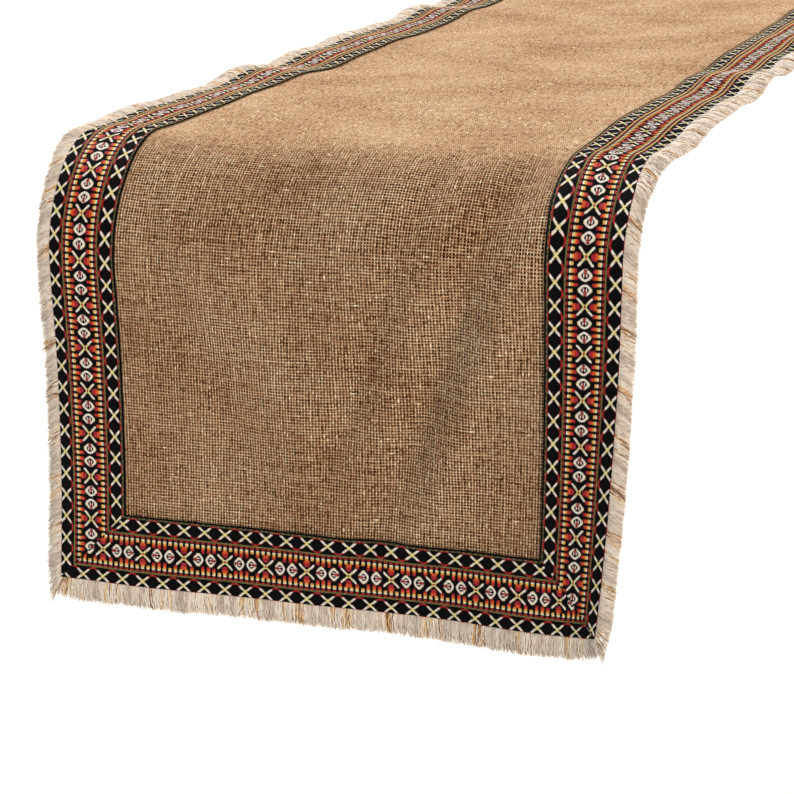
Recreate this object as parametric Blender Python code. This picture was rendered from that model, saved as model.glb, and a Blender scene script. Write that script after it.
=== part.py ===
"""Burlap table runner with a woven ribbon border and a cut fringe.

The runner lies across a table and both ends hang over the table's edges.
Frame: +X across the runner, +Y along it, +Z up. The origin is the centre of
the underside of the stretch that lies on the table. Metres throughout.
"""

import math

import bpy
from mathutils import Matrix

MM = 0.001

# Flat widths, measured across the runner from its centre line.
PANEL_HALF = 141.0 * MM        # burlap, to its raw edge under the ribbon
RIBBON_INNER = 115.0 * MM      # inner edge of the ribbon border
RIBBON_OUTER = 153.0 * MM      # outer edge of the ribbon border
FRINGE_OUTER = 167.0 * MM      # tips of the fringe

# Lengths along the runner.
SPAN_HALF = 686.0 * MM         # half of the stretch that lies flat
BEND_RADIUS = 50.0 * MM        # underside of the cloth over the table's edge

# Table top down to the hem. The runner lies a little off centre, so that its front
# end hangs lower than its back end.
HEM_DROPS = {"front": 236.0 * MM, "back": 136.0 * MM}

# Thicknesses.
CLOTH = 1.2 * MM               # burlap and heading tape
RIBBON = 1.0 * MM
FRINGE = 1.8 * MM
STITCH = 0.4 * MM
STITCH_WIDTH = 0.7 * MM
STITCH_INSET = 1.2 * MM        # seam line inside the ribbon's inner edge

GAP = 0.3 * MM                 # clearance between neighbouring solids
BEND_STEPS = 12

# Height of each layer above the underside: (bottom, top).
CLOTH_LAYER = (0.0, CLOTH)
FRINGE_LAYER = (0.0, FRINGE)
RIBBON_LAYER = (CLOTH + GAP, CLOTH + GAP + RIBBON)
STITCH_BASE = RIBBON_LAYER[1] + GAP
STITCH_LAYER = (STITCH_BASE, STITCH_BASE + STITCH)

# name: base colour, roughness
FABRICS = {
    "burlap": ((0.42, 0.28, 0.15), 0.95),
    "ribbon": ((0.02, 0.018, 0.02), 0.7),
    "tape": ((0.55, 0.47, 0.36), 0.9),
    "fringe": ((0.62, 0.54, 0.45), 0.85),
    "stitch": ((0.03, 0.028, 0.03), 0.6),
}

ENDS = {"front": -1, "back": 1}
SIDES = {"left": -1, "right": 1}


def clear_scene():
    for obj in list(bpy.data.objects):
        bpy.data.objects.remove(obj, do_unlink=True)


def make_material(name):
    colour, roughness = FABRICS[name]
    mat = bpy.data.materials.new(name)
    mat.use_nodes = True
    shader = mat.node_tree.nodes["Principled BSDF"]
    shader.inputs["Base Color"].default_value = (*colour, 1.0)
    shader.inputs["Roughness"].default_value = roughness
    shader.inputs["Metallic"].default_value = 0.0
    return mat


clear_scene()
runner = bpy.data.collections.new("table_runner")
bpy.context.scene.collection.children.link(runner)
materials = {name: make_material(name) for name in FABRICS}

# Each hanging end turns about a line just inside its bend. The line is placed so
# that an end lifted level has moved out by the length of cloth in the bend.
HINGE_OUT = SPAN_HALF + BEND_RADIUS * math.pi / 4
HINGE_DOWN = BEND_RADIUS * (1 - math.pi / 4)

hinges = {}
for end, sign in ENDS.items():
    hinge = bpy.data.objects.new(f"{end}_drop_hinge", None)
    hinge.empty_display_size = 0.03
    hinge.location = (0.0, sign * HINGE_OUT, -HINGE_DOWN)
    runner.objects.link(hinge)
    hinges[end] = hinge


def adopt(obj, name, fabric, end=None):
    """Name a finished piece, give it its cloth and hang it on its hinge."""
    obj.name = name
    obj.data.name = name
    obj.data.materials.clear()
    obj.data.materials.append(materials[fabric])
    for other in list(obj.users_collection):
        other.objects.unlink(obj)
    runner.objects.link(obj)
    if end is not None:
        obj.parent = hinges[end]
        shift = Matrix.Translation(hinges[end].location)
        obj.matrix_parent_inverse = shift.inverted()
    return obj


def flat_piece(name, fabric, x_range, y_range, z_range, end=None):
    """A rectangular piece of cloth between three pairs of planes."""
    centre = [(low + high) / 2 for low, high in (x_range, y_range, z_range)]
    size = [abs(high - low) for low, high in (x_range, y_range, z_range)]
    bpy.ops.mesh.primitive_cube_add(size=1.0, location=centre)
    obj = bpy.context.object
    obj.scale = size
    bpy.ops.object.transform_apply(location=False, rotation=False, scale=True)
    return adopt(obj, name, fabric, end)


def outline_piece(name, fabric, points, depth, location, rotation, end=None):
    """A flat outline given a thickness, centred on its own plane."""
    curve = bpy.data.curves.new(name, "CURVE")
    curve.dimensions = "2D"
    curve.fill_mode = "BOTH"
    curve.extrude = depth / 2
    spline = curve.splines.new("POLY")
    spline.points.add(len(points) - 1)
    for point, (u, v) in zip(spline.points, points):
        point.co = (u, v, 0.0, 1.0)
    spline.use_cyclic_u = True
    obj = bpy.data.objects.new(name, curve)
    obj.location = location
    obj.rotation_euler = rotation
    runner.objects.link(obj)
    return adopt(obj, name, fabric, end)


def bend_piece(name, fabric, x_range, layer, end):
    """The quarter turn of a strip where it goes over the table's edge."""
    sign = ENDS[end]
    inner = BEND_RADIUS + layer[0]
    outer = BEND_RADIUS + layer[1]
    steps = range(BEND_STEPS + 1)
    angles = [math.pi / 2 * step / BEND_STEPS for step in steps]
    points = [(sign * outer * math.sin(a), outer * math.cos(a)) for a in angles]
    points += [
        (sign * inner * math.sin(a), inner * math.cos(a)) for a in reversed(angles)
    ]
    middle = (x_range[0] + x_range[1]) / 2
    # The outline's plane stands across the table's edge.
    return outline_piece(
        name,
        fabric,
        points,
        abs(x_range[1] - x_range[0]),
        (middle, sign * SPAN_HALF, -BEND_RADIUS),
        (math.pi / 2, 0.0, math.pi / 2),
    )


def drop_faces(layer, end):
    """Near and far plane of a layer on a hanging end."""
    sign = ENDS[end]
    edge = SPAN_HALF + BEND_RADIUS
    return (sign * (edge + layer[0]), sign * (edge + layer[1]))


def drop_piece(name, fabric, x_range, layer, end, bottom):
    """A rectangular strip that hangs straight down from the bend."""
    z_range = (-bottom, -BEND_RADIUS - GAP)
    return flat_piece(name, fabric, x_range, drop_faces(layer, end), z_range, end)


def hung_outline(name, fabric, points, layer, end):
    """An outline in the hanging plane, given as x and depth below the top."""
    near, far = drop_faces(layer, end)
    points = [(x, -depth) for x, depth in points]
    return outline_piece(
        name,
        fabric,
        points,
        abs(far - near),
        (0.0, (near + far) / 2, 0.0),
        (math.pi / 2, 0.0, 0.0),
        end,
    )


def span_piece(name, fabric, x_range, layer):
    """A strip that lies on the table."""
    y_range = (-SPAN_HALF + GAP, SPAN_HALF - GAP)
    return flat_piece(name, fabric, x_range, y_range, layer)


# --- Burlap panel: one length of cloth, in the five parts that it bends into.
panel_x = (-PANEL_HALF, PANEL_HALF)
PANEL_INSET = RIBBON_OUTER - PANEL_HALF
span_piece("burlap_span", "burlap", panel_x, CLOTH_LAYER)
for end in ENDS:
    bottom = HEM_DROPS[end] - PANEL_INSET
    bend_piece(f"burlap_{end}_bend", "burlap", panel_x, CLOTH_LAYER, end)
    drop_piece(f"burlap_{end}_drop", "burlap", panel_x, CLOTH_LAYER, end, bottom)

# --- Long strips down both sides: ribbon, its seam, heading tape and fringe.
TAPE_X = (PANEL_HALF + GAP, RIBBON_OUTER)
FRINGE_X = (RIBBON_OUTER + GAP, FRINGE_OUTER)
SEAM_X = (RIBBON_INNER + STITCH_INSET, RIBBON_INNER + STITCH_INSET + STITCH_WIDTH)
RIBBON_X = (RIBBON_INNER, RIBBON_OUTER)

for side, across in SIDES.items():
    tape_x = sorted(across * x for x in TAPE_X)
    fringe_x = sorted(across * x for x in FRINGE_X)
    seam_x = sorted(across * x for x in SEAM_X)
    ribbon_x = sorted(across * x for x in RIBBON_X)
    span_piece(f"tape_{side}_span", "tape", tape_x, CLOTH_LAYER)
    span_piece(f"fringe_{side}_span", "fringe", fringe_x, FRINGE_LAYER)
    span_piece(f"ribbon_{side}_span", "ribbon", ribbon_x, RIBBON_LAYER)
    span_piece(f"stitch_{side}_span", "stitch", seam_x, STITCH_LAYER)
    for end in ENDS:
        place = f"{side}_{end}"
        hem = HEM_DROPS[end]
        bend_piece(f"tape_{place}_bend", "tape", tape_x, CLOTH_LAYER, end)
        bend_piece(f"fringe_{place}_bend", "fringe", fringe_x, FRINGE_LAYER, end)
        bend_piece(f"ribbon_{place}_bend", "ribbon", ribbon_x, RIBBON_LAYER, end)
        bend_piece(f"stitch_{place}_bend", "stitch", seam_x, STITCH_LAYER, end)
        drop_piece(f"tape_{place}_drop", "tape", tape_x, CLOTH_LAYER, end, hem)
        drop_piece(f"fringe_{place}_drop", "fringe", fringe_x, FRINGE_LAYER, end, hem)
        seam_bottom = hem - (RIBBON_OUTER - SEAM_X[0])
        drop_piece(
            f"stitch_{place}_drop", "stitch", seam_x, STITCH_LAYER, end, seam_bottom
        )
        # The lower end of the side ribbon is cut on a 45 degree mitre.
        inner_bottom = hem - (RIBBON_OUTER - RIBBON_INNER)
        mitred = [
            (across * RIBBON_INNER, BEND_RADIUS + GAP),
            (across * RIBBON_OUTER, BEND_RADIUS + GAP),
            (across * RIBBON_OUTER, hem - GAP),
            (across * RIBBON_INNER, inner_bottom - GAP),
        ]
        hung_outline(f"ribbon_{place}_drop", "ribbon", mitred, RIBBON_LAYER, end)

# --- Short strips across each hanging end.
for end in ENDS:
    hem = HEM_DROPS[end]
    tape_half = PANEL_HALF - GAP
    tape_top = hem - PANEL_INSET + GAP
    outline = [
        (-tape_half, tape_top),
        (tape_half, tape_top),
        (tape_half, hem),
        (-tape_half, hem),
    ]
    hung_outline(f"tape_{end}", "tape", outline, CLOTH_LAYER, end)

    fringe_top = hem + GAP
    fringe_bottom = hem + FRINGE_OUTER - RIBBON_OUTER
    outline = [
        (-FRINGE_OUTER, fringe_top),
        (FRINGE_OUTER, fringe_top),
        (FRINGE_OUTER, fringe_bottom),
        (-FRINGE_OUTER, fringe_bottom),
    ]
    hung_outline(f"fringe_{end}", "fringe", outline, FRINGE_LAYER, end)

    ribbon_top = hem - (RIBBON_OUTER - RIBBON_INNER)
    outline = [
        (-RIBBON_INNER + GAP, ribbon_top),
        (RIBBON_INNER - GAP, ribbon_top),
        (RIBBON_OUTER - GAP, hem),
        (-RIBBON_OUTER + GAP, hem),
    ]
    hung_outline(f"ribbon_{end}", "ribbon", outline, RIBBON_LAYER, end)

    seam_half = SEAM_X[0] - GAP
    seam_top = hem - (RIBBON_OUTER - SEAM_X[0])
    outline = [
        (-seam_half, seam_top),
        (seam_half, seam_top),
        (seam_half, seam_top + STITCH_WIDTH),
        (-seam_half, seam_top + STITCH_WIDTH),
    ]
    hung_outline(f"stitch_{end}", "stitch", outline, STITCH_LAYER, end)
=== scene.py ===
import math

import bpy
import numpy as np
from mathutils import Matrix, Vector


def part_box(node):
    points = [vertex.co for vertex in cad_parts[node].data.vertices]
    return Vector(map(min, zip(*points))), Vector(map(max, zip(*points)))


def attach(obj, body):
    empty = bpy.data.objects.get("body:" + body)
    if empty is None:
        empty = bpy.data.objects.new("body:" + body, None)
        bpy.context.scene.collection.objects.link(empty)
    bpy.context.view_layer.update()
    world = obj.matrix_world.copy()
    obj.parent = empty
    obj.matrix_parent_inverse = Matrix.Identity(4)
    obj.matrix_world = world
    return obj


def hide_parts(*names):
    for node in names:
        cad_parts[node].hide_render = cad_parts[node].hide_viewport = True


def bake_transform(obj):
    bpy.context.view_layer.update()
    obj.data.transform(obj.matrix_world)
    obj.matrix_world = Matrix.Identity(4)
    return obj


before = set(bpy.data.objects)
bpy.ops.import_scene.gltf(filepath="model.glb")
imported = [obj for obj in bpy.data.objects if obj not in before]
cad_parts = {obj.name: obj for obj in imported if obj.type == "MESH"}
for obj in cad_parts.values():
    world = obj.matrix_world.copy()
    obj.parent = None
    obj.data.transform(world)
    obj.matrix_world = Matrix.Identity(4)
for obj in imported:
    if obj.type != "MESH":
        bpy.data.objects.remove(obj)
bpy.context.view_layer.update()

# Looks of a burlap table runner with a woven ribbon border and a cut fringe.
#
# Everything is built flat, in pattern coordinates, and then draped by place():
#   u   across the runner from its centre line
#   v   along the runner from its middle, negative towards the front end
#   h   height above the cloth's underside
# so the burlap, ribbons, fringe and seams stay in register everywhere.

MM = 0.001

# ---------------------------------------------------------------- sizes from the frame

PANEL_HALF, SPAN_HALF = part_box("burlap_span")[1][0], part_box("burlap_span")[1][1]
RIBBON_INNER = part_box("ribbon_right_span")[0][0]
RIBBON_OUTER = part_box("ribbon_right_span")[1][0]
FRINGE_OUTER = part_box("fringe_right_span")[1][0]
RIBBON_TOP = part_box("ribbon_right_span")[1][2]
TAPE_INNER, TAPE_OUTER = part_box("tape_right_span")[0][0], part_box("tape_right_span")[1][0]
CAD_RADIUS = -SPAN_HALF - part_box("burlap_front_drop")[1][1]

# Length of cloth past the flat stretch, to each end's hem, and the hem's distance in v.
DROP_LENGTH = {
    end: CAD_RADIUS * math.pi / 2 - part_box("ribbon_" + end)[0][2] - CAD_RADIUS
    for end in ("front", "back")
}
HEM = {end: SPAN_HALF + length for end, length in DROP_LENGTH.items()}

# ---------------------------------------------------------------- drape

BEND_RADIUS = 62.0 * MM       # the cloth's own curve over the table's edge, at its middle

# How each end hangs. A pair is for the left and the right long edge, except in fold,
# and its effect grows from nothing at the middle.
ENDS = {
    "front": {
        "tighter": (7.0 * MM, 20.0 * MM),   # how much smaller the bend's radius is
        "later": (8.0 * MM, 13.0 * MM),     # how much further out the bend begins
        "lean": -1.0 * MM,                  # the middle of the hem, out from plumb
        "bow": -6.0 * MM,                   # the middle of the drop, out
        "flare": (4.0 * MM, 36.0 * MM),     # the hem's corners, out
        "curl": (-7.0 * MM, 13.0 * MM),     # the same, close to the edge
        "draw": (-3.0 * MM, -3.0 * MM),     # the hem's corners, towards the middle
        "lift": (0.0, 1.0 * MM),            # the hem's corners, up
        "sag": (-1.0 * MM, 3.0 * MM),       # the edges, down at the bend
        "sway": -3.0 * MM,                  # the whole hem, sideways
        "kick": 1.0 * MM,                   # the hem itself, out
        "fold": (10.0 * MM, 144.0 * MM),    # a soft fold at the hem, inwards, and where
        "rise": 2.0 * MM,                   # the hem between its corners, up
        "tilt": 4.5 * MM,                   # and more so towards the right
        "push": -1.5 * MM,                  # the same stretch of the hem, out
        # The last bit of each corner: up, towards the middle, and out.
        "corner_up": (-5.0 * MM, 9.0 * MM),
        "corner_in": (-3.0 * MM, 7.0 * MM),
        "corner_out": (1.0 * MM, -10.0 * MM),
    },
    "back": {
        "tighter": (11.0 * MM, 9.0 * MM),
        "later": (7.0 * MM, 8.0 * MM),
        "lean": -4.0 * MM,
        "bow": -2.5 * MM,
        "flare": (11.0 * MM, 9.0 * MM),
        "curl": (3.0 * MM, 1.5 * MM),
        "draw": (0.6 * MM, 0.9 * MM),
        "lift": (2.0 * MM, 1.6 * MM),
        "sag": (0.8 * MM, 0.8 * MM),
        "sway": 1.6 * MM,
        "kick": 0.8 * MM,
        "fold": (3.4 * MM, -85.0 * MM),
        "rise": 0.5 * MM,
        "tilt": -1.0 * MM,
        "push": -1.0 * MM,
        "corner_up": (1.5 * MM, 2.0 * MM),
        "corner_in": (1.0 * MM, 1.2 * MM),
        "corner_out": (1.5 * MM, -1.5 * MM),
    },
}
FOLD_WIDTH = 35.0 * MM
SAG_LENGTH = 60.0 * MM

# Soft creases that run down and across from the bend:
# end, height of the ridge, where it crosses the middle of the drop, its slant, width.
CREASES = (
    ("front", -5.5 * MM, 60.0 * MM, -0.35, 13.0 * MM),
    ("front", 3.4 * MM, 86.0 * MM, -0.40, 12.0 * MM),
    ("front", -3.2 * MM, 20.0 * MM, -0.35, 11.0 * MM),
    ("front", 1.8 * MM, -30.0 * MM, 0.30, 16.0 * MM),
    ("front", -2.2 * MM, -72.0 * MM, 0.42, 14.0 * MM),
    ("back", -1.4 * MM, -55.0 * MM, 0.50, 14.0 * MM),
    ("back", 1.0 * MM, 15.0 * MM, 0.35, 15.0 * MM),
    ("back", -1.2 * MM, 70.0 * MM, -0.45, 13.0 * MM),
)
EDGE_RIPPLE = 5.0 * MM        # lift of the long edges off the table, at its highest
EDGE_WAVES = ((0.100, 0.4), (0.150, 2.1), (0.074, 4.4))   # wavelength in m, phase
CLOTH_WAVE = 1.7 * MM         # slack of the panel between its borders


def hung(v):
    """How far down its end each point is: 0 where the bend begins and 1 at the hem."""
    length = np.where(v < 0, DROP_LENGTH["front"], DROP_LENGTH["back"])
    return np.maximum(np.abs(v) - SPAN_HALF, 0.0) / length


def per_end(u, v, key, item=None):
    """The value of key at each point, for its end and, where it is a pair, its side.

    item picks one value of a pair for both sides instead.
    """
    front, back = ENDS["front"][key], ENDS["back"][key]
    if item is not None:
        return np.where(v < 0, front[item], back[item])
    if isinstance(front, tuple):
        return np.where(
            u < 0, np.where(v < 0, front[0], back[0]), np.where(v < 0, front[1], back[1])
        )
    return np.where(v < 0, front, back)


def swell(u, v, t):
    """How far the cloth stands off its smooth drape, up on the table and out where it hangs."""
    reach = np.clip(np.abs(u) / RIBBON_OUTER, 0, 1.1)
    turn = np.where(u < 0, 1.7, 0.0)        # so that the two edges don't rise together
    waves = sum(np.sin(2 * np.pi * v / length + phase + turn) for length, phase in EDGE_WAVES)
    edge = EDGE_RIPPLE * reach ** 3 * (0.5 + waves / 6) * np.exp(-3 * t)
    # Broad puckers, about 0.2 m apart across and 0.27 m along, bent by slower waves.
    slack = (
        np.sin(u / 0.031 + 2.2 * np.sin(v / 0.11))
        * np.sin(v / 0.043 + 1.3 * np.sin(u / 0.06 + 1.0))
    )
    panel = CLOTH_WAVE * (1 + slack) * np.clip(1 - (np.abs(u) / RIBBON_OUTER) ** 8, 0, 1)
    folds = 0.0
    # A crease fades out at the bend and at the ribbon along the hem.
    for end, height, middle, slant, width in CREASES:
        here = (v < 0) if end == "front" else (v >= 0)
        line = middle + slant * (t - 0.5) * DROP_LENGTH[end]
        fade = np.clip(t * 5, 0, 1) * np.clip((0.92 - t) * 4, 0, 1)
        folds = folds + np.where(here, height * np.exp(-((u - line) / width) ** 2) * fade, 0.0)
    return edge + panel + folds


def drape(u, v):
    """Where the cloth's underside goes in the room."""

    def of(key, item=None):
        return per_end(u, v, key, item)

    side = np.where(v < 0, -1.0, 1.0)
    reach = u / RIBBON_OUTER
    edge = reach ** 2
    radius = BEND_RADIUS - of("tighter") * edge
    begin = SPAN_HALF + of("later") * edge
    past = np.maximum(np.abs(v) - begin, 0.0)
    angle = np.minimum(past / radius, np.pi / 2)
    straight = np.maximum(past - radius * np.pi / 2, 0.0)
    t = hung(v)

    fold = of("fold", 0) * np.exp(-(((u - of("fold", 1)) / FOLD_WIDTH) ** 2))
    corner = reach ** 6 * t ** 3
    between = (1 - np.clip(np.abs(reach), 0, 1) ** 4) * t * t
    out = (
        radius * np.sin(angle)
        + of("lean") * t * t / (t + 0.15)
        + of("bow") * 4 * t * (1 - t)
        + (of("flare") * edge + of("curl") * edge ** 2) * t ** 1.5
        + of("kick") * t ** 6
        - fold * t ** 3
        + of("push") * between
        + of("corner_out") * corner
    )
    off = swell(u, v, t)
    x = u - of("draw") * reach * t * t + of("sway") * t - np.sign(u) * of("corner_in") * corner
    y = side * (np.minimum(np.abs(v), begin) + out + off * np.sin(angle))
    z = (
        -radius * (1 - np.cos(angle))
        - straight
        + of("lift") * edge * t * t
        + (of("rise") + of("tilt") * reach) * between
        + of("corner_up") * corner
        - of("sag") * edge * np.exp(-np.abs(np.abs(v) - SPAN_HALF) / SAG_LENGTH)
        + off * np.cos(angle)
    )
    return np.stack([x, y, z], -1)


def place(u, v, h):
    """Points in the room for pattern positions, and the cloth's normal at each."""
    u, v, h = np.broadcast_arrays(
        np.asarray(u, float), np.asarray(v, float), np.asarray(h, float)
    )
    step = 0.4 * MM
    across = drape(u + step, v) - drape(u - step, v)
    along = drape(u, v + step) - drape(u, v - step)
    up = np.cross(across, along)
    up /= np.linalg.norm(up, axis=-1, keepdims=True)
    return drape(u, v) + h[..., None] * up, up


# ---------------------------------------------------------------- meshes


def new_mesh(name, points, up, quads, materials, tones, pattern=None):
    """A smooth mesh object from quads, wound so that its faces look along up.

    tones gives each quad its material, and pattern each point its place in the flat cloth.
    """
    points, up = points.reshape(-1, 3), up.reshape(-1, 3)
    a, b, c = (points[quads[:, k]] for k in (0, 1, 2))
    facing = np.einsum("ij,ij->i", np.cross(b - a, c - b), up[quads[:, 0]])
    if facing[: max(1, len(facing) // 3)].sum() < 0:
        quads = quads[:, ::-1]
    mesh = bpy.data.meshes.new(name)
    mesh.vertices.add(len(points))
    mesh.vertices.foreach_set("co", points.astype(np.float32).ravel())
    mesh.loops.add(4 * len(quads))
    mesh.loops.foreach_set("vertex_index", quads.astype(np.int32).ravel())
    mesh.polygons.add(len(quads))
    mesh.polygons.foreach_set("loop_start", np.arange(0, 4 * len(quads), 4, dtype=np.int32))
    mesh.polygons.foreach_set("use_smooth", np.ones(len(quads), bool))
    for material in materials:
        mesh.materials.append(material)
    mesh.polygons.foreach_set("material_index", tones.astype(np.int32))
    mesh.update(calc_edges=True)
    if pattern is not None:
        layer = mesh.uv_layers.new(name="pattern")
        layer.data.foreach_set("uv", pattern[quads.ravel()].astype(np.float32).ravel())
    obj = bpy.data.objects.new(name, mesh)
    bpy.context.scene.collection.objects.link(obj)
    return obj


def grid_quads(rows, columns, first=0):
    """The quads of a grid of points whose first point has the number first."""
    i, j = np.meshgrid(np.arange(rows - 1), np.arange(columns - 1), indexing="ij")
    a = first + i * columns + j
    return np.stack([a, a + 1, a + columns + 1, a + columns], -1).reshape(-1, 4)


def closed_sheet(name, top, bottom, up, materials, pattern):
    """A sheet between two grids of points, closed along its edges.

    Its upper face has the first material, and its underside and edges the last.
    """
    rows, columns = top.shape[:2]
    count = rows * columns
    upper = grid_quads(rows, columns)
    lower = grid_quads(rows, columns, count)[:, ::-1]
    ring = np.concatenate([
        np.arange(columns),
        np.arange(1, rows) * columns + columns - 1,
        (rows - 1) * columns + np.arange(columns - 2, -1, -1),
        np.arange(rows - 2, 0, -1) * columns,
    ])
    following = np.roll(ring, -1)
    walls = np.stack([ring, ring + count, following + count, following], -1)
    return new_mesh(
        name,
        np.concatenate([top.reshape(-1, 3), bottom.reshape(-1, 3)]),
        np.concatenate([up.reshape(-1, 3)] * 2),
        np.concatenate([upper, lower, walls]),
        materials,
        tones=np.repeat([0, len(materials) - 1], [len(upper), len(lower) + len(walls)]),
        pattern=np.concatenate([pattern.reshape(-1, 2)] * 2),
    )


def cloth_slab(name, u, v, low, high, materials, pattern):
    """A closed sheet over a grid of pattern points, from height low to height high."""
    top, up = place(u, v, high)
    bottom, _ = place(u, v, low)
    return closed_sheet(name, top, bottom, up, materials, np.stack(pattern, -1))


# The points across a thread, from one edge to the other, and along a ribbon's float.
SIDEWAYS = np.array([-1.0, 0.0, 1.0])[None, None, :]
FLOAT_STATIONS = np.array([-1.0, -0.45, 0.45, 1.0])[None, :, None]


class Threads:
    """Raised threads gathered in pattern coordinates, then draped as one mesh.

    Each thread is a strip three points wide.
    """

    def __init__(self, stations):
        self.stations = stations
        self.u, self.v, self.h, self.tones = [], [], [], []

    def add(self, u, v, h, tones):
        """u, v and h have the shape (threads, stations, 3)."""
        u, v, h = np.broadcast_arrays(u, v, h)
        self.u.append(u)
        self.v.append(v)
        self.h.append(h)
        self.tones.append(np.broadcast_to(tones, (len(u),)))

    def mesh(self, name, materials):
        u, v, h = (np.concatenate(x) for x in (self.u, self.v, self.h))
        tones = np.concatenate(self.tones)
        points, up = place(u, v, h)
        single = grid_quads(self.stations, 3)
        size = 3 * self.stations
        quads = (np.arange(len(u))[:, None, None] * size + single).reshape(-1, 4)
        # A strip that runs the other way round is wound the other way.
        first = quads[:: len(single)]
        a, b, c = (points.reshape(-1, 3)[first[:, k]] for k in (0, 1, 2))
        facing = np.einsum("ij,ij->i", np.cross(b - a, c - b), up.reshape(-1, 3)[first[:, 0]])
        flip = np.repeat(facing < 0, len(single))
        quads[flip] = quads[flip][:, ::-1]
        return new_mesh(name, points, up, quads, materials, np.repeat(tones, len(single)))


# ---------------------------------------------------------------- materials


def srgb(red, green, blue):
    """Linear colour of an 8-bit sRGB one."""
    values = np.array([red, green, blue]) / 255
    linear = np.where(values <= 0.04045, values / 12.92, ((values + 0.055) / 1.055) ** 2.4)
    return (*linear.tolist(), 1.0)


class Nodes:
    """A material's nodes, added and joined by short calls."""

    def __init__(self, name):
        self.material = bpy.data.materials.new(name)
        self.material.use_nodes = True
        self.tree = self.material.node_tree
        self.shader = self.tree.nodes["Principled BSDF"]

    def add(self, kind, inputs=(), **settings):
        node = self.tree.nodes.new(kind)
        for key, value in settings.items():
            setattr(node, key, value)
        for key, value in dict(inputs).items():
            self.feed(node.inputs[key], value)
        return node

    def feed(self, socket, value):
        if isinstance(value, bpy.types.NodeSocket):
            self.tree.links.new(value, socket)
        else:
            socket.default_value = value

    def math(self, operation, a, b=0.0, c=0.0):
        return self.add("ShaderNodeMath", {0: a, 1: b, 2: c}, operation=operation).outputs[0]

    def noise(self, scale, detail=2.0, vector=None):
        inputs = {"Scale": scale, "Detail": detail}
        if vector is not None:
            inputs["Vector"] = vector
        return self.add("ShaderNodeTexNoise", inputs).outputs["Fac"]

    def spread(self, value, low, high):
        inputs = {"Value": value, "To Min": low, "To Max": high}
        return self.add("ShaderNodeMapRange", inputs).outputs[0]

    def mix(self, share, a, b):
        node = self.add("ShaderNodeMix", data_type="RGBA")
        for socket, value in zip((0, 6, 7), (share, a, b), strict=True):
            self.feed(node.inputs[socket], value)
        return node.outputs[2]

    def bump(self, height, distance, strength=1.0):
        inputs = {"Height": height, "Distance": distance, "Strength": strength}
        node = self.add("ShaderNodeBump", inputs)
        self.feed(self.shader.inputs["Normal"], node.outputs[0])

    def position(self):
        return self.add("ShaderNodeTexCoord").outputs["Object"]

    def pattern(self):
        """The flat pattern's two coordinates, in metres."""
        uv = self.add("ShaderNodeUVMap", uv_map="pattern").outputs[0]
        parts = self.add("ShaderNodeSeparateXYZ", {0: uv})
        return uv, parts.outputs[0], parts.outputs[1]

    def finish(self, **values):
        for key, value in values.items():
            self.feed(self.shader.inputs[key.replace("_", " ")], value)
        return self.material


def yarn(name, colour, roughness, fibre, sheen=0.05):
    """Thread of one colour: fibres raise it and make its roughness uneven."""
    n = Nodes(name)
    where = n.position()
    n.bump(n.noise(fibre, 3.0, where), 0.12 * MM, 0.6)
    return n.finish(
        Base_Color=colour,
        Roughness=n.spread(n.noise(fibre * 0.4, 2.0, where), roughness - 0.12, roughness + 0.1),
        Specular_IOR_Level=0.3,
        Sheen_Weight=sheen,
        Sheen_Roughness=0.5,
    )


def woven(name, thread, gap, pitch, depth, roughness, streak=0.35, sheen=0.2, specular=0.25):
    """Plain-weave ground: alternate threads up, uneven threads, and gaps painted dark as shade."""
    n = Nodes(name)
    uv, u, v = n.pattern()
    across = n.math("SINE", n.math("MULTIPLY", u, math.pi / pitch))
    along = n.math("SINE", n.math("MULTIPLY", v, math.pi / pitch))
    crown_u, crown_v = n.math("ABSOLUTE", across), n.math("ABSOLUTE", along)
    over = n.math("GREATER_THAN", n.math("MULTIPLY", across, along), 0.0)
    crown = n.math("ADD", n.math("MULTIPLY", crown_u, over),
                   n.math("MULTIPLY", crown_v, n.math("SUBTRACT", 1.0, over)))
    height = n.math("MULTIPLY", crown, n.math("ADD", n.math("MULTIPLY", crown_u, 0.5),
                                              n.math("MULTIPLY", crown_v, 0.5)))
    stretched = [
        n.add("ShaderNodeMapping", {"Vector": uv, "Scale": scale}).outputs[0]
        for scale in ((1.0 / pitch, 25.0, 1.0), (25.0, 1.0 / pitch, 1.0))
    ]
    uneven = n.math("ADD", *(n.noise(1.0, 2.0, vector) for vector in stretched))
    tone = n.mix(n.math("MULTIPLY", uneven, streak), thread, gap)
    n.bump(height, depth)
    # Painted shade: the colour turns to gap where the weave is low, between its threads.
    return n.finish(
        Base_Color=n.mix(n.math("POWER", height, 0.7), gap, tone),
        Roughness=n.spread(n.noise(900.0, 2.0, uv), roughness - 0.1, roughness + 0.08),
        Specular_IOR_Level=specular,
        Sheen_Weight=sheen,
        Sheen_Roughness=0.5,
    )


WEAVE_PITCH = 1.55 * MM
JUTE = [
    yarn("jute_pale", srgb(228, 204, 172), 0.85, 2500.0),
    yarn("jute_light", srgb(212, 182, 147), 0.86, 2500.0),
    yarn("jute_mid", srgb(197, 162, 126), 0.87, 2500.0),
    yarn("jute_rosy", srgb(180, 138, 104), 0.88, 2500.0),
    yarn("jute_brown", srgb(140, 100, 68), 0.9, 2500.0),
    yarn("jute_fleck", srgb(244, 226, 190), 0.5, 2500.0, sheen=0.0),
]
JUTE_FLECK = 5                  # the others go from pale to brown
FLECK_SHARE = 0.004
# Painted shade: the dark brown that shows in the holes between the burlap's threads, on a sheet
# under them.
BURLAP_HOLE_SHADE = woven(
    "burlap_hole_shade", srgb(60, 28, 9), srgb(12, 6, 3), WEAVE_PITCH, 0.35 * MM, 0.9,
    sheen=0.0, specular=0.05,
)
BURLAP_UNDER = woven(
    "burlap_under", srgb(204, 166, 126), srgb(70, 44, 24), WEAVE_PITCH, 0.5 * MM, 0.88,
    streak=0.25, sheen=0.05, specular=0.15,
)
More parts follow.
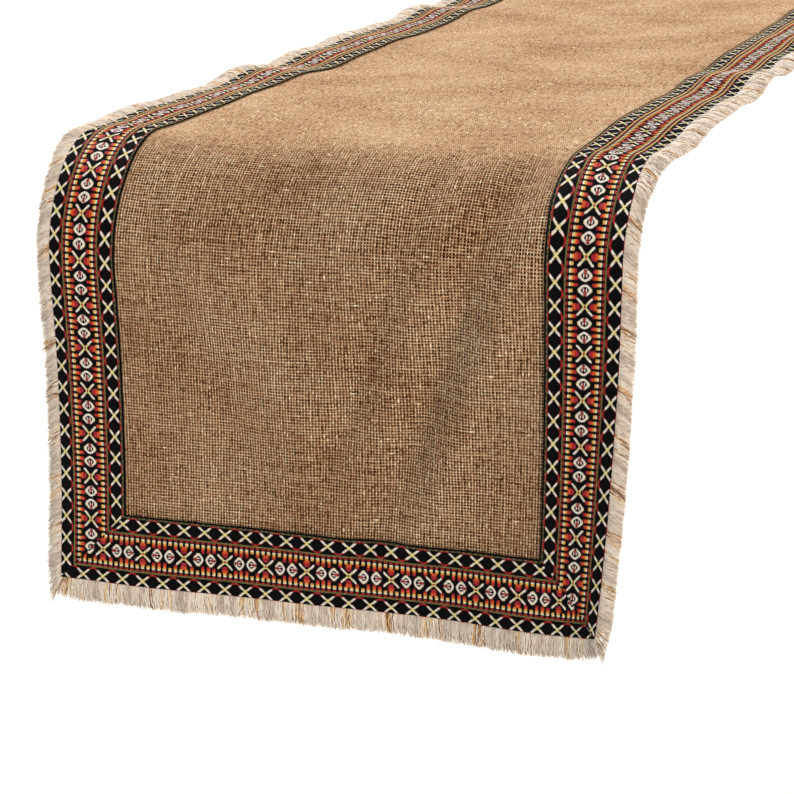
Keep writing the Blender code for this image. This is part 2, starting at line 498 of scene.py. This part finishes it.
RIBBON_GROUND = woven(
    "ribbon_ground", srgb(9, 8, 11), srgb(2, 2, 3), 0.5 * MM, 0.06 * MM, 0.8,
    streak=0.6, sheen=0.0, specular=0.08,
)
TAPE_GROUND = woven(
    "tape_ground", srgb(176, 158, 130), srgb(110, 95, 74), 0.6 * MM, 0.12 * MM, 0.85
)
SEAM_THREAD = yarn("seam_thread", srgb(18, 17, 20), 0.5, 3000.0)

SILK_NAMES = ("white", "yellow", "gold", "orange", "red", "crimson", "sage")
SILK_COLOURS = (
    (224, 216, 208), (216, 206, 142), (214, 160, 74), (202, 68, 22),
    (150, 16, 18), (156, 14, 48), (222, 214, 130),
)
SILK = [
    yarn("silk_" + name, srgb(*colour), 0.55, 3500.0, sheen=0.0)
    for name, colour in zip(SILK_NAMES, SILK_COLOURS, strict=True)
]
GROUND, WHITE, YELLOW, GOLD, ORANGE, RED, CRIMSON, SAGE = range(8)

FRINGE_YARN = [
    yarn("fringe_ivory", srgb(234, 224, 212), 0.75, 2500.0),
    yarn("fringe_cream", srgb(216, 202, 188), 0.78, 2500.0),
    yarn("fringe_grey", srgb(188, 172, 158), 0.8, 2500.0),
    yarn("fringe_tan", srgb(178, 138, 102), 0.8, 2500.0),
    yarn("fringe_brown", srgb(128, 88, 60), 0.82, 2500.0),
    # Painted highlight: golden strands that stand in for light glinting on the fringe.
    yarn("fringe_painted_highlight", srgb(226, 188, 130), 0.6, 2500.0),
]
IVORY_YARN, CREAM_YARN, GREY_YARN, TAN_YARN, BROWN_YARN, HIGHLIGHT_YARN = range(6)

# ---------------------------------------------------------------- burlap panel

WEAVE_HALF_WIDTH = 0.385 * MM
WEAVE_PIECES = 4                # to each half of the panel
BURLAP_SHOWN = RIBBON_INNER + 1.5 * MM      # the panel's threads stop under the ribbon
WEAVE_TOP, WEAVE_SINK = 1.45 * MM, 0.55 * MM     # crown of a float, and its ends' drop
WEAVE_ROUND = 0.42 * MM                     # how much lower a float's long edges are
WEAVE_REACH = (0.74, 0.86)                  # half of a float's length, in pitches
WEAVE_WANDER = 0.16 * MM                    # how far a thread strays from its line
# Heights of the sheet whose upper face is painted shade.
SHADE_SHEET_LOW, SHADE_SHEET_TOP = 0.1 * MM, 0.75 * MM


def thread_noise(rng, count, where, lengths):
    """Smooth noise from -1 to 1 along each of count threads, of a few wavelengths."""
    total = 0.0
    for length in lengths:
        phase = rng.uniform(0, 2 * np.pi, count)
        stretch = rng.uniform(0.8, 1.25, count)
        total = total + np.sin(where * stretch * 2 * np.pi / length + phase)
    return total / len(lengths)


class Weave:
    """Threads of the whole panel: where each wanders, how thick it is and its tone."""

    def __init__(self, seed):
        rng = np.random.default_rng(seed)
        outer = round(BURLAP_SHOWN / WEAVE_PITCH)
        front, back = (
            round((HEM[end] - RIBBON_OUTER + BURLAP_SHOWN) / WEAVE_PITCH)
            for end in ("front", "back")
        )
        self.columns = np.arange(-outer, outer + 1)
        self.rows = np.arange(-front, back + 1)
        across, along = self.columns * WEAVE_PITCH, self.rows * WEAVE_PITCH
        self.warp = self.lay(rng, len(self.columns), along[:, None])
        self.weft = self.lay(rng, len(self.rows), across[:, None])
        self.rng = rng

    def lay(self, rng, count, where):
        """Wander, thickness and tone of count threads, at each place along them."""
        wander = WEAVE_WANDER * thread_noise(rng, count, where, (0.031, 0.017))
        uneven = thread_noise(rng, count, where, (0.023, 0.012, 0.0071))
        own = rng.normal(0, 0.07, count)
        slub = np.clip((uneven - 0.78) * 4, 0, 1)
        thick = np.clip(1 + own + 0.1 * uneven + 0.4 * slub, 0.8, 1.6)
        tone = rng.normal(0, 0.3, count) + 0.35 * thread_noise(rng, count, where, (0.05, 0.027))
        return wander, thick, tone + 0.5 * slub


WEAVE = Weave(11)


def weave_threads(first, last):
    """The panel's floats on rows first to last: one domed strip over each crossing."""
    rng = np.random.default_rng(1000 + first % 997)
    rows = np.arange(first, last)
    at = rows - WEAVE.rows[0]
    threads = Threads(3)
    i, j = np.meshgrid(np.arange(len(WEAVE.columns)), at, indexing="xy")
    u = WEAVE.columns[i] * WEAVE_PITCH + WEAVE.warp[0][j, i]
    v = WEAVE.rows[j] * WEAVE_PITCH + WEAVE.weft[0][i, j]
    warp_up = (i + j) % 2 == 0
    end = np.array([-1.0, 0.0, 1.0])
    for up, (_, thick, tone), flat in (
        (warp_up, (WEAVE.warp[0], WEAVE.warp[1][j, i], WEAVE.warp[2][j, i]), False),
        (~warp_up, (WEAVE.weft[0], WEAVE.weft[1][i, j], WEAVE.weft[2][i, j]), True),
    ):
        cu, cv, wide, shade = u[up], v[up], thick[up] * WEAVE_HALF_WIDTH, tone[up]
        count = len(cu)
        half = WEAVE_PITCH * rng.uniform(*WEAVE_REACH, count)
        along = half[:, None, None] * end[None, :, None]
        taper = np.array([0.72, 1.0, 0.72])[None, :, None]
        across = wide[:, None, None] * taper * SIDEWAYS
        top = WEAVE_TOP + (wide - WEAVE_HALF_WIDTH)[:, None, None] * 0.6
        top = top + rng.normal(0, 0.05 * MM, count)[:, None, None]
        h = top - WEAVE_SINK * np.abs(end)[None, :, None] ** 2 - WEAVE_ROUND * np.abs(SIDEWAYS)
        # Paler and browner patches, 0.12 to 0.15 m from one to the next.
        patch = 0.5 * np.sin(cu / 0.019 + 1.7 * np.sin(cv / 0.033)) * np.sin(cv / 0.024 + 1.1)
        ply = 0.35 if flat else -0.35      # the warp is the paler of the two
        grade = np.round(2.0 + ply - shade - patch + rng.normal(0, 0.6, count))
        index = np.clip(grade, 0, JUTE_FLECK - 1).astype(int)
        index[rng.random(count) < FLECK_SHARE] = JUTE_FLECK
        if flat:
            threads.add(cu[:, None, None] + along, cv[:, None, None] + across, h, index)
        else:
            threads.add(cu[:, None, None] + across, cv[:, None, None] + along, h, index)
    return threads


def burlap_sheet(end):
    """A dark sheet painted as the shade between the panel's threads, and its plainly woven
    underside.
    """
    sign = -1 if end == "front" else 1
    raw = HEM[end] - RIBBON_OUTER + PANEL_HALF
    along = np.concatenate([np.linspace(0, SPAN_HALF, 161), np.linspace(SPAN_HALF, raw, 91)[1:]])
    u, v = np.meshgrid(np.linspace(-PANEL_HALF, PANEL_HALF, 95), sign * along, indexing="xy")
    faces = [BURLAP_HOLE_SHADE, BURLAP_UNDER]
    return cloth_slab("burlap_" + end, u, v, SHADE_SHEET_LOW, SHADE_SHEET_TOP, faces, (u, v))


# ---------------------------------------------------------------- border frame

# Each border strip has its own coordinates: out, the distance from the runner's
# centre line that the same place on a long side has, and along the strip.
BORDER = {
    "left": lambda out, along: (-out, along),
    "right": lambda out, along: (out, along),
    "front": lambda out, along: (along, -(HEM["front"] - RIBBON_OUTER + out)),
    "back": lambda out, along: (along, HEM["back"] - RIBBON_OUTER + out),
}
LONG = ("left", "right")


def mitre(side, end, out):
    """The strip's reach from its middle at out, where it meets its neighbour."""
    return (HEM[end] if side in LONG else RIBBON_OUTER) - (RIBBON_OUTER - out)


def stretches(side):
    """The pieces a strip is made in: name, end, and its share of the reach, from -1 to 1."""
    if side in LONG:
        return ((side + "_front", "front", -1.0, 0.0), (side + "_back", "back", 0.0, 1.0))
    return ((side + "_end", side, -1.0, 1.0),)


def strip_grid(side, end, outs, low, high, spacing):
    """Grid over a strip: outs across it, and even shares of its reach along it."""
    length = mitre(side, end, RIBBON_OUTER) * (high - low)
    shares = np.linspace(low, high, max(2, round(length / spacing)) + 1)
    return np.meshgrid(outs, shares, indexing="xy")


def clipped(side, end, w, low, high):
    """Where the strip's share from low to high starts and stops, w from the inner edge."""
    limit = mitre(side, end, RIBBON_INNER + w)
    return low * limit, high * limit


# ---------------------------------------------------------------- ribbon

RIBBON_WIDTH = 40.0 * MM                # cut width, with the edge that rolls over
RIBBON_MIDDLE = RIBBON_WIDTH / 2
ROLL_RADIUS = 0.85 * MM
ROLL_START = RIBBON_OUTER - RIBBON_INNER - ROLL_RADIUS + 0.1 * MM
REPEAT = 23.2 * MM
COLUMN = 0.5 * MM                       # spacing of the ribbon's warp
STEP = 0.15 * MM                        # resolution of the pattern along the ribbon
RIBBON_THICK = 0.5 * MM
RIBBON_FACE = RIBBON_TOP - 0.2 * MM     # the black ground, just under the floats
ROLL_END_GAP = 0.4 * MM                 # the rolled edge stops short of the cut width
FLOAT_HEIGHT = 0.15 * MM
FLOAT_HALF = 0.52 * COLUMN              # floats side by side overlap a little

# Where a main cross of the pattern falls on each ribbon, along it.
PATTERN_START = {
    "left": -(SPAN_HALF + 22.5 * MM),
    "right": -(SPAN_HALF + 27.5 * MM),
    "front": -12.0 * MM,
    "back": 6.0 * MM,
}


def ribbon_section(w, lift):
    """out and height of a point w from the inner edge of the ribbon, lift above it."""
    angle = np.clip(w - ROLL_START, 0, None) / ROLL_RADIUS
    out = RIBBON_INNER + np.minimum(w, ROLL_START) + (ROLL_RADIUS + lift) * np.sin(angle)
    height = RIBBON_FACE - ROLL_RADIUS + (ROLL_RADIUS + lift) * np.cos(angle)
    return out, height


BEADS = 7.5                   # beads to a repeat
SIDE_COLUMN = 14.8            # mm from the ribbon's middle to its side columns
# Bright marks of a repeat: place as a share of it, length along and height across in mm.
MARKS = (
    (0.0, 3.9, 3.6), (0.24, 2.3, 2.2), (0.42, 2.3, 2.9), (-0.42, 2.3, 2.9), (-0.24, 2.3, 2.2)
)
MARK_EDGE = 6.2               # mm from the ribbon's middle to where the marks end


def wrap(l, period):
    """l brought into the half period each side of 0."""
    return (l + period / 2) % period - period / 2


def cross_arms(a, l, half_a, half_l, half_width):
    """Where the arms of an upright X are."""
    slope = half_a / half_l
    off = np.minimum(np.abs(a - slope * l), np.abs(a + slope * l)) / math.hypot(1, slope)
    return (off < half_width) & (np.abs(l) <= half_l) & (np.abs(a) <= half_a)


def ribbon_colours(a, l):
    """Colour number at a across from the ribbon's middle and l along it, both in mm.

    GROUND is where the black ribbon shows.
    """
    repeat = REPEAT / MM
    m = wrap(l, repeat)
    c = np.full(a.shape, GROUND)
    side = np.abs(a)

    def paint(mask, colour):
        c[mask] = colour

    # Middle column: a cross, then two ringed diamonds.
    arms = cross_arms(a, m, 3.9, 4.4, 0.6)
    paint(arms, WHITE)
    paint(arms & (np.hypot(a, m) < 2.7), YELLOW)
    paint((np.abs(m) < 0.75) & (side < 0.7), RED)
    for at in (0.35, -0.35):
        d = m - at * repeat
        inward = -np.sign(at) * d
        shape = (np.abs(d) / 3.0) ** 1.5 + (side / 3.7) ** 1.5
        paint(shape < 1, WHITE)
        paint((shape < 1) & (side > 2.9), YELLOW)
        paint(shape < 0.4, GROUND)
        paint((side > 0.5) & (side < 1.1) & (np.abs(d) < 0.95), WHITE)
        paint((side < 0.3) & (inward > -0.6) & (inward < 2.9), RED)
        paint((side > 0.3) & (side < 0.9) & (inward > 1.75) & (inward < 2.4), RED)

    # Beads, each with a red thread outside it.
    pitch = repeat / BEADS
    bead = wrap(l, pitch)
    shape = (side > 6.1) & (side < 8.2) & (np.abs(bead) < 1.08 - 0.12 * np.abs(side - 7.1))
    paint(shape, GOLD)
    paint(shape & (side > 6.95), YELLOW)
    paint(shape & (side > 7.55), WHITE)
    paint((side > 8.35) & (side < 9.4) & (np.abs(bead) < 1.15), RED)

    # Bright marks between the middle column and the beads, dyed from gold to crimson.
    number = np.floor(l / repeat + 0.5)
    for at, long, tall in MARKS:
        nearest = np.round((number + at) * repeat / pitch) * pitch if at else number * repeat
        off, middle = l - nearest, MARK_EDGE - tall / 2
        mark = np.abs((side - middle) / (tall / 2)) ** 2.6 + np.abs(off / (long / 2)) ** 2.6 < 1
        deep = (MARK_EDGE - side) / tall
        paint(mark, ORANGE)
        paint(mark & (deep < 0.12), GOLD)
        paint(mark & (deep > 0.5), RED)
        paint(mark & (deep > 0.72), CRIMSON)

    # Side columns: crosses, and dark diamonds between red arcs.
    half = wrap(l, repeat / 2)
    away = side - SIDE_COLUMN
    arms = cross_arms(away, half, 3.1, 3.8, 0.6)
    paint(arms, WHITE)
    paint(arms & (np.hypot(away, half) < 1.7), YELLOW)
    between = wrap(l + repeat / 4, repeat / 2)
    arc = np.abs(away) + 0.13 * between ** 2
    paint((arc > 3.2) & (arc < 4.3) & (np.abs(between) < 3.0) & (np.abs(away) > 2.6), RED)
    return c


def pattern_floats():
    """The floats of two repeats: middle across, ends along and colour, in metres."""
    columns = np.arange(-RIBBON_MIDDLE + COLUMN / 2, RIBBON_MIDDLE, COLUMN)
    steps = round(2 * REPEAT / STEP)
    size = 2 * REPEAT / steps
    along = (np.arange(steps) + 0.5) * size
    a, l = np.meshgrid(columns / MM, along / MM, indexing="ij")
    colours = ribbon_colours(a, l)
    found = []
    for column, row in zip(columns, colours, strict=True):
        start = int(np.argmax(row != np.roll(row, 1)))   # begin at a change of colour
        row = np.roll(row, -start)
        cuts = np.flatnonzero(np.diff(row)) + 1
        for first, last in zip([0, *cuts], [*cuts, steps], strict=True):
            if row[first] != GROUND:
                ends = ((first + start) * size, (last + start) * size)
                found.append((column, *ends, row[first]))
    return np.array(found)


FLOATS = pattern_floats()


def motif_threads(side, end, low, high, seed):
    """The coloured floats of one stretch of ribbon."""
    rng = np.random.default_rng(seed)
    reach = mitre(side, end, RIBBON_OUTER)
    tile = 2 * REPEAT
    numbers = np.arange(math.floor((low * reach - PATTERN_START[side]) / tile) - 1,
                        math.ceil((high * reach - PATTERN_START[side]) / tile) + 1)
    shift = (PATTERN_START[side] + numbers * tile)[:, None]
    column = np.broadcast_to(FLOATS[:, 0], (len(numbers), len(FLOATS))).ravel()
    start = (FLOATS[:, 1] + shift).ravel()
    stop = (FLOATS[:, 2] + shift).ravel()
    colour = np.broadcast_to(FLOATS[:, 3], (len(numbers), len(FLOATS))).ravel()
    jitter = rng.normal(0, 0.05 * MM, (2, len(start)))
    w = column + RIBBON_MIDDLE
    first, last = clipped(side, end, w - 0.25 * MM, low, high)
    start = np.maximum(start + jitter[0], first)
    stop = np.minimum(stop + jitter[1], last)
    keep = stop - start > 0.2 * MM
    w, start, stop, colour = w[keep], start[keep], stop[keep], colour[keep]

    t, b = FLOAT_STATIONS, SIDEWAYS
    threads = Threads(t.size)
    middle, half = (start + stop)[:, None, None] / 2, (stop - start)[:, None, None] / 2
    crown = FLOAT_HEIGHT * rng.uniform(0.8, 1.15, len(w))[:, None, None]
    lift = crown * np.where(np.abs(t) > 0.9, 0.1, 1.0) - 0.12 * MM * np.abs(b)
    across = w[:, None, None] + b * FLOAT_HALF
    out, h = ribbon_section(across, lift)
    u, v = BORDER[side](out, middle + half * t)
    threads.add(u, v, h, colour.astype(int) - WHITE)
    return threads


ZIGZAG = 1.08 * MM                      # one full turn of a zigzag line
ZIGZAG_LINES = (-18.7 * MM, -10.0 * MM, 10.0 * MM, 18.7 * MM)   # from the ribbon's middle
ZIGZAG_REACH = 0.42 * MM                # how far a line swings to each side


def zigzag_threads(side, end, low, high):
    """The four fine zigzag lines of one stretch of ribbon, as short slanting stitches."""
    t, b = FLOAT_STATIONS, SIDEWAYS
    threads = Threads(t.size)
    for line in ZIGZAG_LINES:
        w = RIBBON_MIDDLE + line
        first, last = clipped(side, end, w, low, high)
        count = int((last - first) / (ZIGZAG / 2))
        middle = first + (np.arange(count) + 0.5) * ZIGZAG / 2
        lean = np.where(np.arange(count) % 2 == 0, 1.0, -1.0)[:, None, None]
        across = w + lean * t * ZIGZAG_REACH + b * 0.09 * MM
        lift = 0.12 * MM - 0.1 * MM * np.abs(b) - 0.03 * MM * np.abs(t)
        out, h = ribbon_section(across, lift)
        u, v = BORDER[side](out, middle[:, None, None] + t * 0.24 * ZIGZAG)
        threads.add(u, v, h, np.full(count, SAGE - WHITE))
    return threads


def ribbon_base(side, end, name, low, high):
    """The black ribbon, with its outer edge rolled over."""
    flat = np.linspace(0, ROLL_START, 14)
    rolled = RIBBON_WIDTH - ROLL_END_GAP - ROLL_START
    w = np.concatenate([flat, ROLL_START + rolled * np.linspace(0, 1, 7)[1:]])
    ws, shares = strip_grid(side, end, w, low, high, 4 * MM)
    edge = np.minimum(RIBBON_INNER + ws, RIBBON_OUTER)
    along = shares * mitre(side, end, edge)
    top_out, top_h = ribbon_section(ws, 0.0)
    low_out, low_h = ribbon_section(ws, -RIBBON_THICK)
    top, up = place(*BORDER[side](top_out, along), top_h)
    under, _ = place(*BORDER[side](low_out, along), low_h)
    return closed_sheet(
        "ribbon_" + name, top, under, up, [RIBBON_GROUND], np.stack([ws, along], -1)
    )


# ---------------------------------------------------------------- fringe, tape and seams

FRINGE_LAYERS = 3
STRAND_SPACING = 0.27 * MM
STRAND_STATIONS = 9
STRAND_HALF = 0.25 * MM
FRINGE_ROOT = RIBBON_OUTER - 1.8 * MM
LAYER_DROP, LAYER_SHORT = 0.3 * MM, 0.06        # each layer lies lower, and is shorter
SIDE_LENGTH = {"left": 0.76, "right": 0.66}     # how far hanging side strands still reach
SIDE_TURN = {"left": 0.1, "right": 0.8}         # and how much they turn back, in radians
SINK_LENGTH = 40.0 * MM         # past the table's edge, side strands go limp over this length
HANGING_LEAN = 6.0 * MM         # how far hanging side strands lean down
CORNER_FAN, FAN_LENGTH = 7.0 * MM, 9.0 * MM     # the corners' fan: its lean, and its extent
ARCH_HUNG, ARCH_FLAT = 1.2 * MM, 2.6 * MM       # how high strands curl where they hang and lie
LENGTH_WAVES = ((0.0071, 1.0), (0.0113, 2.5), (0.0034, 0.3))    # of the tips: length in m, phase


def fringe_threads(side, end, low, high, seed):
    """Layers of cut strands that leave from under the ribbon's outer edge."""
    rng = np.random.default_rng(seed)
    reach = mitre(side, end, RIBBON_OUTER)
    low, high = low * reach, high * reach
    threads = Threads(STRAND_STATIONS)
    b = SIDEWAYS
    t = np.linspace(0, 1, STRAND_STATIONS)[None, :, None]

    def wave(at, count, slow, fast):
        """A crinkle along each of count strands, from slow to fast turns."""
        turns = rng.uniform(slow, fast, count)[:, None, None]
        return np.sin(turns * at + rng.uniform(0, 2 * np.pi, count)[:, None, None])

    for layer in range(FRINGE_LAYERS):
        count = int((high - low) / STRAND_SPACING)
        root = low + (np.arange(count) + 0.5) * (high - low) / count
        root = root + rng.normal(0, 0.12 * MM, count)
        slow = sum(np.sin(root / long + phase) for long, phase in LENGTH_WAVES)
        length = (FRINGE_OUTER - FRINGE_ROOT) * (0.88 + rng.normal(0, 0.016, count))
        length = length + 0.15 * MM * slow
        length = length * (1 - LAYER_SHORT * layer)
        # Strands gather in small tufts, and lean a little with their neighbours.
        tuft = 0.4 * MM * np.sin(root / (0.37 * MM))
        tuft = tuft + 0.9 * MM * np.sin(root / (2.3 * MM) + 1.0 + layer)
        lean = tuft + rng.normal(0, 0.9 * MM, count)
        # Where a long side hangs, they sink, and turn back round the edge.
        free, turn = np.ones(count), 0.15 + rng.normal(0, 0.12, count)
        if side in LONG:
            free = np.clip((np.abs(root) - SPAN_HALF) / SINK_LENGTH, 0, 1)
            lean = lean + np.sign(root) * HANGING_LEAN * free
            length = length * (1 - (1 - SIDE_LENGTH[side]) * free)
            turn = turn + SIDE_TURN[side] * free
        # At the corners they fan out.
        fan = np.clip(1 - (reach - np.abs(root)) / FAN_LENGTH, 0, 1) ** 1.3
        lean = lean + np.sign(root) * fan * CORNER_FAN
        length = length * (1 - 0.22 * fan)
        tone_wave = (
            0.9 * np.sin(root / 0.0016 + 1.3 * np.sin(root / 0.009) + 2.0 * layer)
            + np.sin(root / 0.0041 + seed) + rng.normal(0, 0.6, count)
        )
        # Strands with tone_wave from 1.2 to 1.5 are painted golden as highlights.
        tone = np.select(
            [tone_wave > 2.0, tone_wave > 1.5, tone_wave > 1.2, tone_wave < -1.4, tone_wave < -0.1],
            [BROWN_YARN, TAN_YARN, HIGHLIGHT_YARN, GREY_YARN, CREAM_YARN], IVORY_YARN,
        )
        turn = np.maximum(turn, 0.02)[:, None, None]
        strand, free = length[:, None, None], free[:, None, None]
        out = FRINGE_ROOT + strand * np.sin(turn * t) / turn
        back = strand * (1 - np.cos(turn * t)) / turn
        crinkle = rng.uniform(0.2, 0.55, count)[:, None, None] * MM * np.sqrt(t)
        along = root[:, None, None] + lean[:, None, None] * t ** 1.4
        along = along + crinkle * wave(t, count, 9, 17) + b * STRAND_HALF * (1 - 0.3 * t ** 4)
        base = 1.0 * MM - LAYER_DROP * layer + rng.normal(0, 0.12 * MM, count)[:, None, None]
        arch = ARCH_HUNG + (ARCH_FLAT - ARCH_HUNG) * (1 - free)
        bulge = base + arch * np.sin(np.pi * t ** 0.8) + crinkle * 0.7 * wave(t, count, 7, 14)
        h = bulge - back * free - 0.4 * MM * t * (1 - free) + 0.16 * MM * (1 - np.abs(b))
        u, v = BORDER[side](out + 0 * along, along)
        threads.add(u, v, h, tone)
    return threads


TAPE_LOW, TAPE_TOP = 0.15 * MM, 1.0 * MM


def tape_strip(side, end, name, low, high):
    """The heading tape that holds the fringe, under the ribbon's outer part."""
    outs = np.linspace(TAPE_INNER, TAPE_OUTER, 7)
    outs, shares = strip_grid(side, end, outs, low, high, 6 * MM)
    along = shares * mitre(side, end, outs)
    u, v = BORDER[side](outs, along)
    return cloth_slab("tape_" + name, u, v, TAPE_LOW, TAPE_TOP, [TAPE_GROUND], (outs, along))


STITCH_PITCH, STITCH_HALF = 3.0 * MM, 1.25 * MM     # spacing of the stitches, half of one
STITCH_PLACE = 1.2 * MM                             # from the ribbon's inner edge


def seam_threads(side, end, low, high):
    """Machine stitches that hold the ribbon's inner edge down."""
    first, last = clipped(side, end, STITCH_PLACE, low, high)
    count = int((last - first) / STITCH_PITCH)
    middle = (first + (np.arange(count) + 0.5) * (last - first) / count)[:, None, None]
    t, b = np.array([-1.0, -0.6, 0.0, 0.6, 1.0])[None, :, None], SIDEWAYS
    threads = Threads(t.size)
    lift = 0.4 * MM * (1 - t ** 4) - 0.2 * MM * np.abs(b) - 0.05 * MM
    across = STITCH_PLACE + b * 0.26 * MM * (1 - 0.5 * t ** 4)
    out, h = ribbon_section(across, lift)
    u, v = BORDER[side](out, middle + t * STITCH_HALF)
    threads.add(u, v, h, np.zeros(count, int))
    return threads


# ---------------------------------------------------------------- pieces, with the flat ones on the table's body


def hang(obj):
    """Bakes the piece's placement into its mesh: it lies on the table and turns down with one
    hanging end.
    """
    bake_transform(obj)
    return obj


def nodes_of(kind, side, end):
    """The CAD nodes that a piece of a strip stands for."""
    if side not in LONG:
        return [f"{kind}_{side}"]
    return [f"{kind}_{side}_{end}_{part}" for part in ("bend", "drop")] + [f"{kind}_{side}_span"]


def make_burlap():
    for end, sign in (("front", -1), ("back", 1)):
        sheet = hang(burlap_sheet(end))
        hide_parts(f"burlap_{end}_bend", f"burlap_{end}_drop", "burlap_span")
        last = np.abs(WEAVE.rows[0 if end == "front" else -1])
        cuts = [round(last * k / WEAVE_PIECES) for k in range(WEAVE_PIECES + 1)]
        for number in range(WEAVE_PIECES):
            first, final = sorted((sign * cuts[number], sign * cuts[number + 1]))
            threads = weave_threads(first, final + (end == "back" and number == WEAVE_PIECES - 1))
            piece = threads.mesh(f"weave_{end}_{number + 1}", JUTE)
            if cuts[number + 1] * WEAVE_PITCH < SPAN_HALF - 2 * WEAVE_PITCH:
                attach(piece, "table_span")
            else:
                hang(piece)


def make_border():
    for number, side in enumerate(BORDER):
        for name, end, low, high in stretches(side):
            place_of = (side, end, low, high)
            seed = 100 * number + (low < 0)
            ribbon = hang(ribbon_base(side, end, name, low, high))
            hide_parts(*nodes_of("ribbon", side, end))
            floats = motif_threads(*place_of, seed).mesh("motif_" + name, SILK)
            motif = hang(floats)
            zigzags = zigzag_threads(*place_of).mesh("zigzag_" + name, SILK)
            lines = hang(zigzags)
            stitches = seam_threads(*place_of).mesh("stitch_" + name, [SEAM_THREAD])
            seam = hang(stitches)
            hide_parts(*nodes_of("stitch", side, end))
            tape = hang(tape_strip(side, end, name, low, high))
            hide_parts(*nodes_of("tape", side, end))
            strands = fringe_threads(*place_of, seed).mesh("fringe_" + name, FRINGE_YARN)
            fringe = hang(strands)
            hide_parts(*nodes_of("fringe", side, end))


# ---------------------------------------------------------------- studio and camera

FLOOR_HALF, FLOOR_LEVEL = 60.0, -0.75       # m: wide enough to have no edge in a view


def make_studio():
    mesh = bpy.data.meshes.new("floor")
    corners = ((-1, -1), (1, -1), (1, 1), (-1, 1))
    points = [(FLOOR_HALF * x, FLOOR_HALF * y, FLOOR_LEVEL) for x, y in corners]
    mesh.from_pydata(points, [], [(0, 1, 2, 3)])
    floor = bpy.data.objects.new("floor", mesh)
    bpy.context.scene.collection.objects.link(floor)
    n = Nodes("floor_paint")
    where = n.position()
    mesh.materials.append(n.finish(
        Base_Color=(0.93, 0.93, 0.92, 1.0),
        Roughness=n.spread(n.noise(3.0, 2.0, where), 0.88, 0.95),
        Specular_IOR_Level=0.1,
    ))

    world = bpy.data.worlds.new("studio")
    bpy.context.scene.world = world
    world.use_nodes = True
    world.node_tree.nodes["Background"].inputs["Color"].default_value = (1.0, 0.95, 0.88, 1.0)
    world.node_tree.nodes["Background"].inputs["Strength"].default_value = 0.44
    bpy.context.scene.view_settings.view_transform = "Standard"

    def lamp(name, direction, spread, strength, colour):
        """A soft sun that shines along direction."""
        data = bpy.data.lights.new(name, "SUN")
        data.energy, data.angle, data.color = strength, math.radians(spread), colour
        light = bpy.data.objects.new(name, data)
        light.rotation_mode = "QUATERNION"
        light.rotation_quaternion = Vector(direction).to_track_quat("-Z", "Y")
        bpy.context.scene.collection.objects.link(light)

    lamp("overhead", (0.5, -0.25, -1.0), 28, 2.7, (1.0, 1.0, 1.0))
    lamp("front_right", (-0.95, 0.5, -0.35), 10, 1.5, (1.0, 0.86, 0.7))


# The camera looks along the runner from its front end and a little from its right.
CAMERA_AZIMUTH = math.radians(22.2)
CAMERA_PITCH = math.radians(17.2)
CAMERA_ROLL = math.radians(-2.1)
CAMERA_SPOT = (0.415, -SPAN_HALF - 0.987, 0.197)
CAMERA_LENS = 96.5            # mm, on a 36 mm sensor


def make_camera():
    data = bpy.data.cameras.new("camera")
    data.sensor_width, data.lens = 36.0, CAMERA_LENS
    data.clip_start, data.clip_end = 0.05, 60.0
    camera = bpy.data.objects.new("camera", data)
    sin, cos = math.sin, math.cos
    forward = Vector((
        -sin(CAMERA_AZIMUTH) * cos(CAMERA_PITCH),
        cos(CAMERA_AZIMUTH) * cos(CAMERA_PITCH),
        -sin(CAMERA_PITCH),
    ))
    level = forward.cross(Vector((0, 0, 1))).normalized()
    upright = level.cross(forward)
    right = level * cos(CAMERA_ROLL) + upright * sin(CAMERA_ROLL)
    top = upright * cos(CAMERA_ROLL) - level * sin(CAMERA_ROLL)
    turn = Matrix((right, top, -forward)).transposed().to_4x4()
    camera.matrix_world = Matrix.Translation(CAMERA_SPOT) @ turn
    bpy.context.scene.collection.objects.link(camera)
    bpy.context.scene.camera = camera


make_camera()
make_studio()
make_burlap()
make_border()
